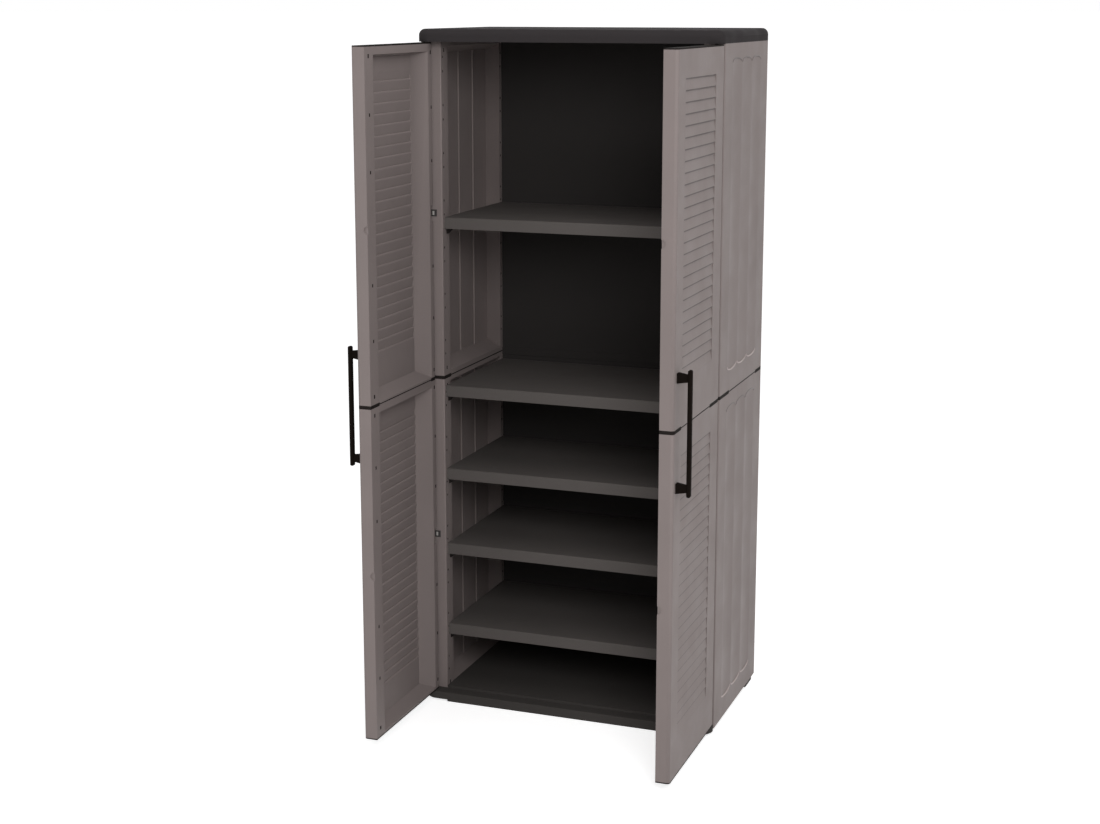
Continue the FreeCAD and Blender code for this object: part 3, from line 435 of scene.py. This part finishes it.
class CABINET_OT_trim(bpy.types.Operator):
    """Dress the connectors, end plates, hinge brackets and shelf clips in smooth dark plastic"""

    bl_idname = "cabinet.trim"
    bl_label = "Connectors, end plates, brackets and clips"

    def execute(self, context):
        kinds = ("side_connector", "door_connector", "door_top_plate", "door_bottom_plate",
                 "hinge_brackets", "shelf_clips")
        names = [f"{kind}_{side}" for kind in kinds for side in SIDES]
        dress_in(context.scene, names, "trim", grained=False)
        return {"FINISHED"}


class CABINET_OT_handles(bpy.types.Operator):
    """Dress the two bar handles"""

    bl_idname = "cabinet.handles"
    bl_label = "Handles"

    def execute(self, context):
        dress_in(context.scene, [f"handle_{side}" for side in SIDES], "handle", grained=False)
        return {"FINISHED"}


def new_piece(name, body, material, shape):
    """Turns a shape into a piece that moves with a body."""
    mesh = bpy.data.meshes.new(name)
    shape.to_mesh(mesh)
    shape.free()
    mesh.materials.append(material)
    piece = bpy.data.objects.new(name, mesh)
    bpy.context.scene.collection.objects.link(piece)
    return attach(piece, body)


def hole_shade_look():
    """Painted shade: the near-black, unreflecting look that stands in for the shade inside a small hole.
    """
    material = bpy.data.materials.new("hollow_dark")
    tree, shader = nodes_of(material)
    place = tree.nodes.new("ShaderNodeTexCoord").outputs["Object"]
    ramp = tree.nodes.new("ShaderNodeValToRGB")
    for stop, tint in zip(ramp.color_ramp.elements, HOLE_SHADE_COLOURS):
        stop.color = tint
    tree.links.new(noise(tree, place, HOLE_SHADE_SCALE, detail=2), ramp.inputs["Fac"])
    tree.links.new(ramp.outputs["Color"], shader.inputs["Base Color"])
    shader.inputs["Roughness"].default_value = HOLE_SHADE_ROUGHNESS
    shader.inputs["Specular IOR Level"].default_value = 0
    return material


def outer_reach(name):
    """Distance from the cabinet's middle to a node's outer side."""
    low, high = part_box(name)
    return max(abs(low.x), abs(high.x))


def inner_reach(name):
    """Distance from the cabinet's middle to a node's inner side."""
    low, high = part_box(name)
    return min(abs(low.x), abs(high.x))


def bracket_heights(side):
    """Middles of the lower and the upper hinge bracket of a side."""
    low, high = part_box(f"hinge_brackets_{side}")
    return low.z + BRACKET_HALF, high.z - BRACKET_HALF


def add_plate(shape, side, reach, y, z, size, thickness=HOLE_SHADE_THICKNESS):
    """Upright plate along a side, whose inner face is that far from the cabinet's middle."""
    x = OUTWARD[side] * (reach + thickness / 2)
    where = Matrix.Translation((x, y, z)) @ Matrix.Diagonal((thickness, *size, 1))
    bmesh.ops.create_cube(shape, size=1, matrix=where)


def add_front_plate(shape, x, front, z, size):
    """Upright plate on a face that looks out at the front."""
    where = Matrix.Translation((x, front - size[1] / 2, z)) @ Matrix.Diagonal((*size, 1))
    bmesh.ops.create_cube(shape, size=1, matrix=where)


def add_crests(shape, side, name, radius):
    """Round bars along the crests of a door panel's slats, as seen from inside."""
    low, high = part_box(name)
    x = OUTWARD[side] * (outer_reach(name) - DISH_WALL + radius + CREST_CLEAR)
    y = low.y + SLAT_START + SLAT_LENGTH / 2
    lying = Matrix.Rotation(math.pi / 2, 4, "X")
    for number in range(1, SLAT_COUNT + 1):
        z = high.z - SLAT_TOP - number * SLAT_PITCH + SLAT_LEDGE + radius * CREST_LIFT
        bmesh.ops.create_cone(
            shape, cap_ends=True, segments=CREST_SIDES, radius1=radius, radius2=radius,
            depth=SLAT_LENGTH, matrix=Matrix.Translation((x, y, z)) @ lying,
        )


def add_slat_shadows(shape, side, name):
    """Strips of painted shadow under a door panel's slats, as seen from outside."""
    low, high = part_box(name)
    reach = outer_reach(name) - SLAT_TOOTH - SLAT_SHADOW_PROUD
    y = low.y + SLAT_START + SLAT_LENGTH / 2
    for number in range(SLAT_COUNT):
        z = high.z - SLAT_TOP - number * SLAT_PITCH - SLAT_SHADOW_HEIGHT / 2
        add_plate(shape, side, reach, y, z, (SLAT_LENGTH, SLAT_SHADOW_HEIGHT), SLAT_SHADOW_DEPTH)


class CABINET_OT_slats(bpy.types.Operator):
    """Round the crests of the slats inside the doors and paint shadow under them outside"""

    bl_idname = "cabinet.slats"
    bl_label = "Slat crests and gaps"

    def execute(self, context):
        finish = context.scene.cabinet_finish
        # The crests take the paler edge material: a painted highlight along each crest, partly rubbed
        # wear
        crest_highlight_look = bpy.data.materials["panel_edges"]
        # Painted shadow: the strips under the outer slats are the panel colour, darkened
        slat_shadow_look = plastic("slat_gap", context.scene.cabinet_colours.panel, finish, pale=-SLAT_SHADOW_DARKENING)
        for side in SIDES:
            for level in LEVELS:
                panel = f"door_{side}_{level}"
                crests = bmesh.new()
                add_crests(crests, side, panel, finish.crest_radius)
                piece = new_piece(f"slat_crests_{side}_{level}", DOOR_BODY[side], crest_highlight_look, crests)

                shadows = bmesh.new()
                add_slat_shadows(shadows, side, panel)
                new_piece(f"slat_gaps_{side}_{level}", DOOR_BODY[side], slat_shadow_look, shadows)
        return {"FINISHED"}


def add_rim(shape, x, y, z, rise):
    """Round bead along half an ellipse, its middle at z and its ends up by the rise."""
    upright = Matrix.Rotation(math.pi / 2, 4, "X")
    made = bmesh.ops.create_circle(shape, segments=RIM_SIDES, radius=RIM_RADIUS, matrix=upright)
    ring = made["verts"]
    edges = list({edge for vert in ring for edge in vert.link_edges})
    rings = [ring]
    for step in range(RIM_STEPS):
        made = bmesh.ops.extrude_edge_only(shape, edges=edges)["geom"]
        ring = [part for part in made if isinstance(part, bmesh.types.BMVert)]
        edges = [part for part in made if isinstance(part, bmesh.types.BMEdge)
                 and part.verts[0] in ring and part.verts[1] in ring]
        rings.append(ring)
    for step, ring in enumerate(rings):
        turn = math.pi * step / RIM_STEPS
        place = Vector((x, y - FLUTE_WIDTH / 2 * math.cos(turn), z + rise * (1 - math.sin(turn))))
        bmesh.ops.translate(shape, verts=ring, vec=place)
    bmesh.ops.holes_fill(shape, edges=shape.edges)
    bmesh.ops.recalc_face_normals(shape, faces=shape.faces)


def add_rims(shape, side, name, end):
    """Beads round the low or high ends of a side panel's flutes."""
    low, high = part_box(name)
    x = OUTWARD[side] * (outer_reach(name) - RIM_SUNK)
    z = low.z + FLUTE_LOW if end == "low" else high.z - FLUTE_HIGH
    rise = RIM_RISE if end == "low" else -RIM_RISE
    for number in range(FLUTE_COUNT):
        y = low.y + FLUTE_START + FLUTE_WIDTH / 2 + number * FLUTE_PITCH
        add_rim(shape, x, y, z, rise)


class CABINET_OT_rims(bpy.types.Operator):
    """Raise the rims round the ends of the flutes on the side panels, with a painted highlight on the
    low rims and painted shade on the high rims
    """

    bl_idname = "cabinet.rims"
    bl_label = "Rims of the flutes"

    def execute(self, context):
        finish = context.scene.cabinet_finish
        tint = context.scene.cabinet_colours.panel
        looks = {
            # Painted highlight on the low rims and painted shade on the high rims
            "low": plastic("flute_rim_low", tint, finish, grained=False, pale=finish.rim_highlight),
            "high": plastic("flute_rim_high", tint, finish, grained=False, pale=-finish.rim_shade),
        }
        for side in SIDES:
            for end, look in looks.items():
                rims = bmesh.new()
                for level in LEVELS:
                    add_rims(rims, side, f"side_{side}_{level}", end)
                piece = new_piece(f"flute_rims_{end}_{side}", "cabinet", look, rims)
                piece.data.shade_smooth()
        return {"FINISHED"}


def add_post_hole_shade(shape, side, name):
    """Plates of painted shade at the grounds of the peg holes and snap windows in a side panel's posts.
    """
    low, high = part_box(name)
    reach = inner_reach(name)
    for column in (low.y + FRONT_HOLES, high.y - REAR_HOLES):
        for pair in range(HOLE_PAIRS):
            for step in (0, HOLE_GAP):
                z = low.z + HOLE_FIRST + pair * HOLE_PITCH + step
                add_plate(shape, side, reach + HOLE_DEPTH, column, z, HOLE_SIZE)
    for z in (low.z + WINDOW_DROP, high.z - WINDOW_DROP):
        add_plate(shape, side, reach + WINDOW_DEPTH, low.y + POST_WINDOW, z, WINDOW_SIZE)


def add_door_hole_shade(shape, side, name, notch):
    """Plates of painted shade at the grounds of the snap windows in a door panel's stiles, and core
    marks of painted shade above and below its notch.
    """
    low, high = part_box(name)
    reach = inner_reach(name)
    for column in (low.y + FREE_WINDOW, high.y - HINGE_AXIS):
        for z in (low.z + WINDOW_DROP, high.z - WINDOW_DROP):
            add_plate(shape, side, reach + WINDOW_DEPTH, column, z, WINDOW_SIZE)
        for step in MARK_STEPS:
            add_plate(shape, side, reach - MARK_PROUD, column, notch + step * MARK_PITCH, MARK_SIZE)


class CABINET_OT_hole_shade(bpy.types.Operator):
    """Paint shade into the small holes of the posts and stiles, and core marks onto the stiles"""

    bl_idname = "cabinet.hollows"
    bl_label = "Small holes"

    def execute(self, context):
        # Painted shade: near-black plates sunk in the holes and laid on the stiles as core marks
        dark = hole_shade_look()
        for side in SIDES:
            posts = bmesh.new()
            for level in LEVELS:
                add_post_hole_shade(posts, side, f"side_{side}_{level}")
            new_piece(f"post_hollows_{side}", "cabinet", dark, posts)

            stiles = bmesh.new()
            for level, notch in zip(LEVELS, bracket_heights(side)):
                add_door_hole_shade(stiles, side, f"door_{side}_{level}", notch)
            new_piece(f"door_hollows_{side}", DOOR_BODY[side], dark, stiles)
        return {"FINISHED"}


class CABINET_OT_brackets(bpy.types.Operator):
    """Lay a flange and a pale plate at the end of its pin, a painted highlight, round each hinge bracket
    on the front posts
    """

    bl_idname = "cabinet.brackets"
    bl_label = "Bracket flanges and pins"

    def execute(self, context):
        finish = context.scene.cabinet_finish
        dark = bpy.data.materials["trim_plastic"]
        # Painted highlight: pale plate at each pin, against the dark bracket
        pale = plastic("bracket_pin", context.scene.cabinet_colours.pin, finish, grained=False)
        for side in SIDES:
            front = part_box(f"side_{side}_lower")[0].y
            arm = inner_reach(f"hinge_brackets_{side}") + EYE_SIDE
            x = OUTWARD[side] * (arm - FLANGE_SIZE[0] / 2)
            flanges = bmesh.new()
            pins = bmesh.new()
            for z in bracket_heights(side):
                add_front_plate(flanges, x, front, z, FLANGE_SIZE)
                add_front_plate(pins, x, front, z, PIN_SIZE)
            piece = new_piece(f"bracket_flanges_{side}", "cabinet", dark, flanges)
            new_piece(f"bracket_pins_{side}", "cabinet", pale, pins)
        return {"FINISHED"}


def seen_directly(tree):
    """1 for what is seen directly, in a gloss or through clear material, and 0 for plain light."""
    path = tree.nodes.new("ShaderNodeLightPath")
    found = path.outputs["Is Camera Ray"]
    for kind in ("Is Glossy Ray", "Is Transmission Ray"):
        either = tree.nodes.new("ShaderNodeMath")
        either.operation = "MAXIMUM"
        tree.links.new(found, either.inputs[0])
        tree.links.new(path.outputs[kind], either.inputs[1])
        found = either.outputs["Value"]
    return found


def pale_floor(stage):
    """Pale material whose glow makes the floor white to the camera and keeps the shadow."""
    material = bpy.data.materials.new("pale_floor")
    tree, shader = nodes_of(material)
    shader.inputs["Base Color"].default_value = (*stage.floor, 1)
    shader.inputs["Roughness"].default_value = FLOOR_ROUGHNESS
    shader.inputs["Specular IOR Level"].default_value = FLOOR_GLOSS
    glow = tree.nodes.new("ShaderNodeMath")
    glow.operation = "MULTIPLY"
    glow.inputs[1].default_value = stage.floor_glow
    tree.links.new(seen_directly(tree), glow.inputs[0])
    shader.inputs["Emission Color"].default_value = (1, 1, 1, 1)
    tree.links.new(glow.outputs["Value"], shader.inputs["Emission Strength"])
    return material


def lay_floor(stage):
    """Round floor, wide enough to fill the picture from any side."""
    mesh = bpy.data.meshes.new("floor")
    shape = bmesh.new()
    bmesh.ops.create_circle(shape, cap_ends=True, segments=FLOOR_SIDES, radius=FLOOR_RADIUS)
    shape.to_mesh(mesh)
    shape.free()
    mesh.materials.append(pale_floor(stage))
    floor = bpy.data.objects.new("floor", mesh)
    bpy.context.scene.collection.objects.link(floor)


def even_sky(stage):
    """World that is white to the camera and gives a weaker, even light."""
    world = bpy.data.worlds.new("studio")
    world.use_nodes = True
    tree = world.node_tree
    tree.nodes.clear()
    strength = tree.nodes.new("ShaderNodeMapRange")
    strength.inputs["To Min"].default_value = stage.world_light
    strength.inputs["To Max"].default_value = 1
    tree.links.new(seen_directly(tree), strength.inputs["Value"])
    sky = tree.nodes.new("ShaderNodeBackground")
    tree.links.new(strength.outputs["Result"], sky.inputs["Strength"])
    sky.inputs["Color"].default_value = (1, 1, 1, 1)
    output = tree.nodes.new("ShaderNodeOutputWorld")
    tree.links.new(sky.outputs["Background"], output.inputs["Surface"])
    return world


def soft_light(name, place, aim, width, power):
    """Round soft light that faces a point."""
    light = bpy.data.lights.new(name, "AREA")
    light.shape = "DISK"
    light.size = width
    light.energy = power
    lamp = bpy.data.objects.new(name, light)
    lamp.location = place
    lamp.rotation_euler = (Vector(aim) - Vector(place)).to_track_quat("-Z", "Y").to_euler()
    bpy.context.scene.collection.objects.link(lamp)


def place_camera(stage):
    """Camera that sees the cabinet as the picture does."""
    lens = bpy.data.cameras.new("camera")
    lens.sensor_width = SENSOR_WIDTH
    lens.lens = stage.lens
    lens.shift_y = stage.drop
    camera = bpy.data.objects.new("camera", lens)
    camera.location = stage.camera_place
    camera.rotation_euler = (math.pi / 2 - stage.camera_tilt, 0, stage.camera_turn)
    bpy.context.scene.collection.objects.link(camera)
    return camera


class CABINET_OT_stage(bpy.types.Operator):
    """Make the pale floor, the soft lights and the camera"""

    bl_idname = "cabinet.stage"
    bl_label = "Floor, lights and camera"

    def execute(self, context):
        scene = context.scene
        stage = scene.cabinet_stage
        lay_floor(stage)
        scene.world = even_sky(stage)
        for name, place, aim, width in LIGHTS:
            soft_light(name, place, aim, width, getattr(stage, f"{name}_power"))
        scene.camera = place_camera(stage)
        scene.view_settings.view_transform = "Standard"
        return {"FINISHED"}


OPERATORS = (
    CABINET_OT_panels,
    CABINET_OT_base,
    CABINET_OT_cap,
    CABINET_OT_shelves,
    CABINET_OT_back,
    CABINET_OT_trim,
    CABINET_OT_handles,
    CABINET_OT_slats,
    CABINET_OT_rims,
    CABINET_OT_hole_shade,
    CABINET_OT_brackets,
    CABINET_OT_stage,
)


class CABINET_PT_sidebar(bpy.types.Panel):
    """Sizes, colours and steps of the cabinet"""

    bl_idname = "CABINET_PT_sidebar"
    bl_label = "Cabinet"
    bl_space_type = "VIEW_3D"
    bl_region_type = "UI"
    bl_category = "Cabinet"

    def draw(self, context):
        layout = self.layout
        for owner in GROUPS:
            group = getattr(context.scene, owner)
            box = layout.box()
            for name in group.__annotations__:
                box.prop(group, name)
        for operator in OPERATORS:
            layout.operator(operator.bl_idname)


GROUPS = {
    "cabinet_colours": CabinetColours,
    "cabinet_finish": CabinetFinish,
    "cabinet_stage": CabinetStage,
}


def register():
    for kind in (*GROUPS.values(), *OPERATORS, CABINET_PT_sidebar):
        bpy.utils.register_class(kind)
    for name, group in GROUPS.items():
        setattr(bpy.types.Scene, name, PointerProperty(type=group))


def unregister():
    for name in GROUPS:
        delattr(bpy.types.Scene, name)
    for kind in (CABINET_PT_sidebar, *reversed(OPERATORS), *GROUPS.values()):
        bpy.utils.unregister_class(kind)


def main():
    register()
    for operator in OPERATORS:
        step = operator.bl_idname.split(".")[1]
        getattr(bpy.ops.cabinet, step)()
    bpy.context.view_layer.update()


if __name__ == "__main__":
    main()
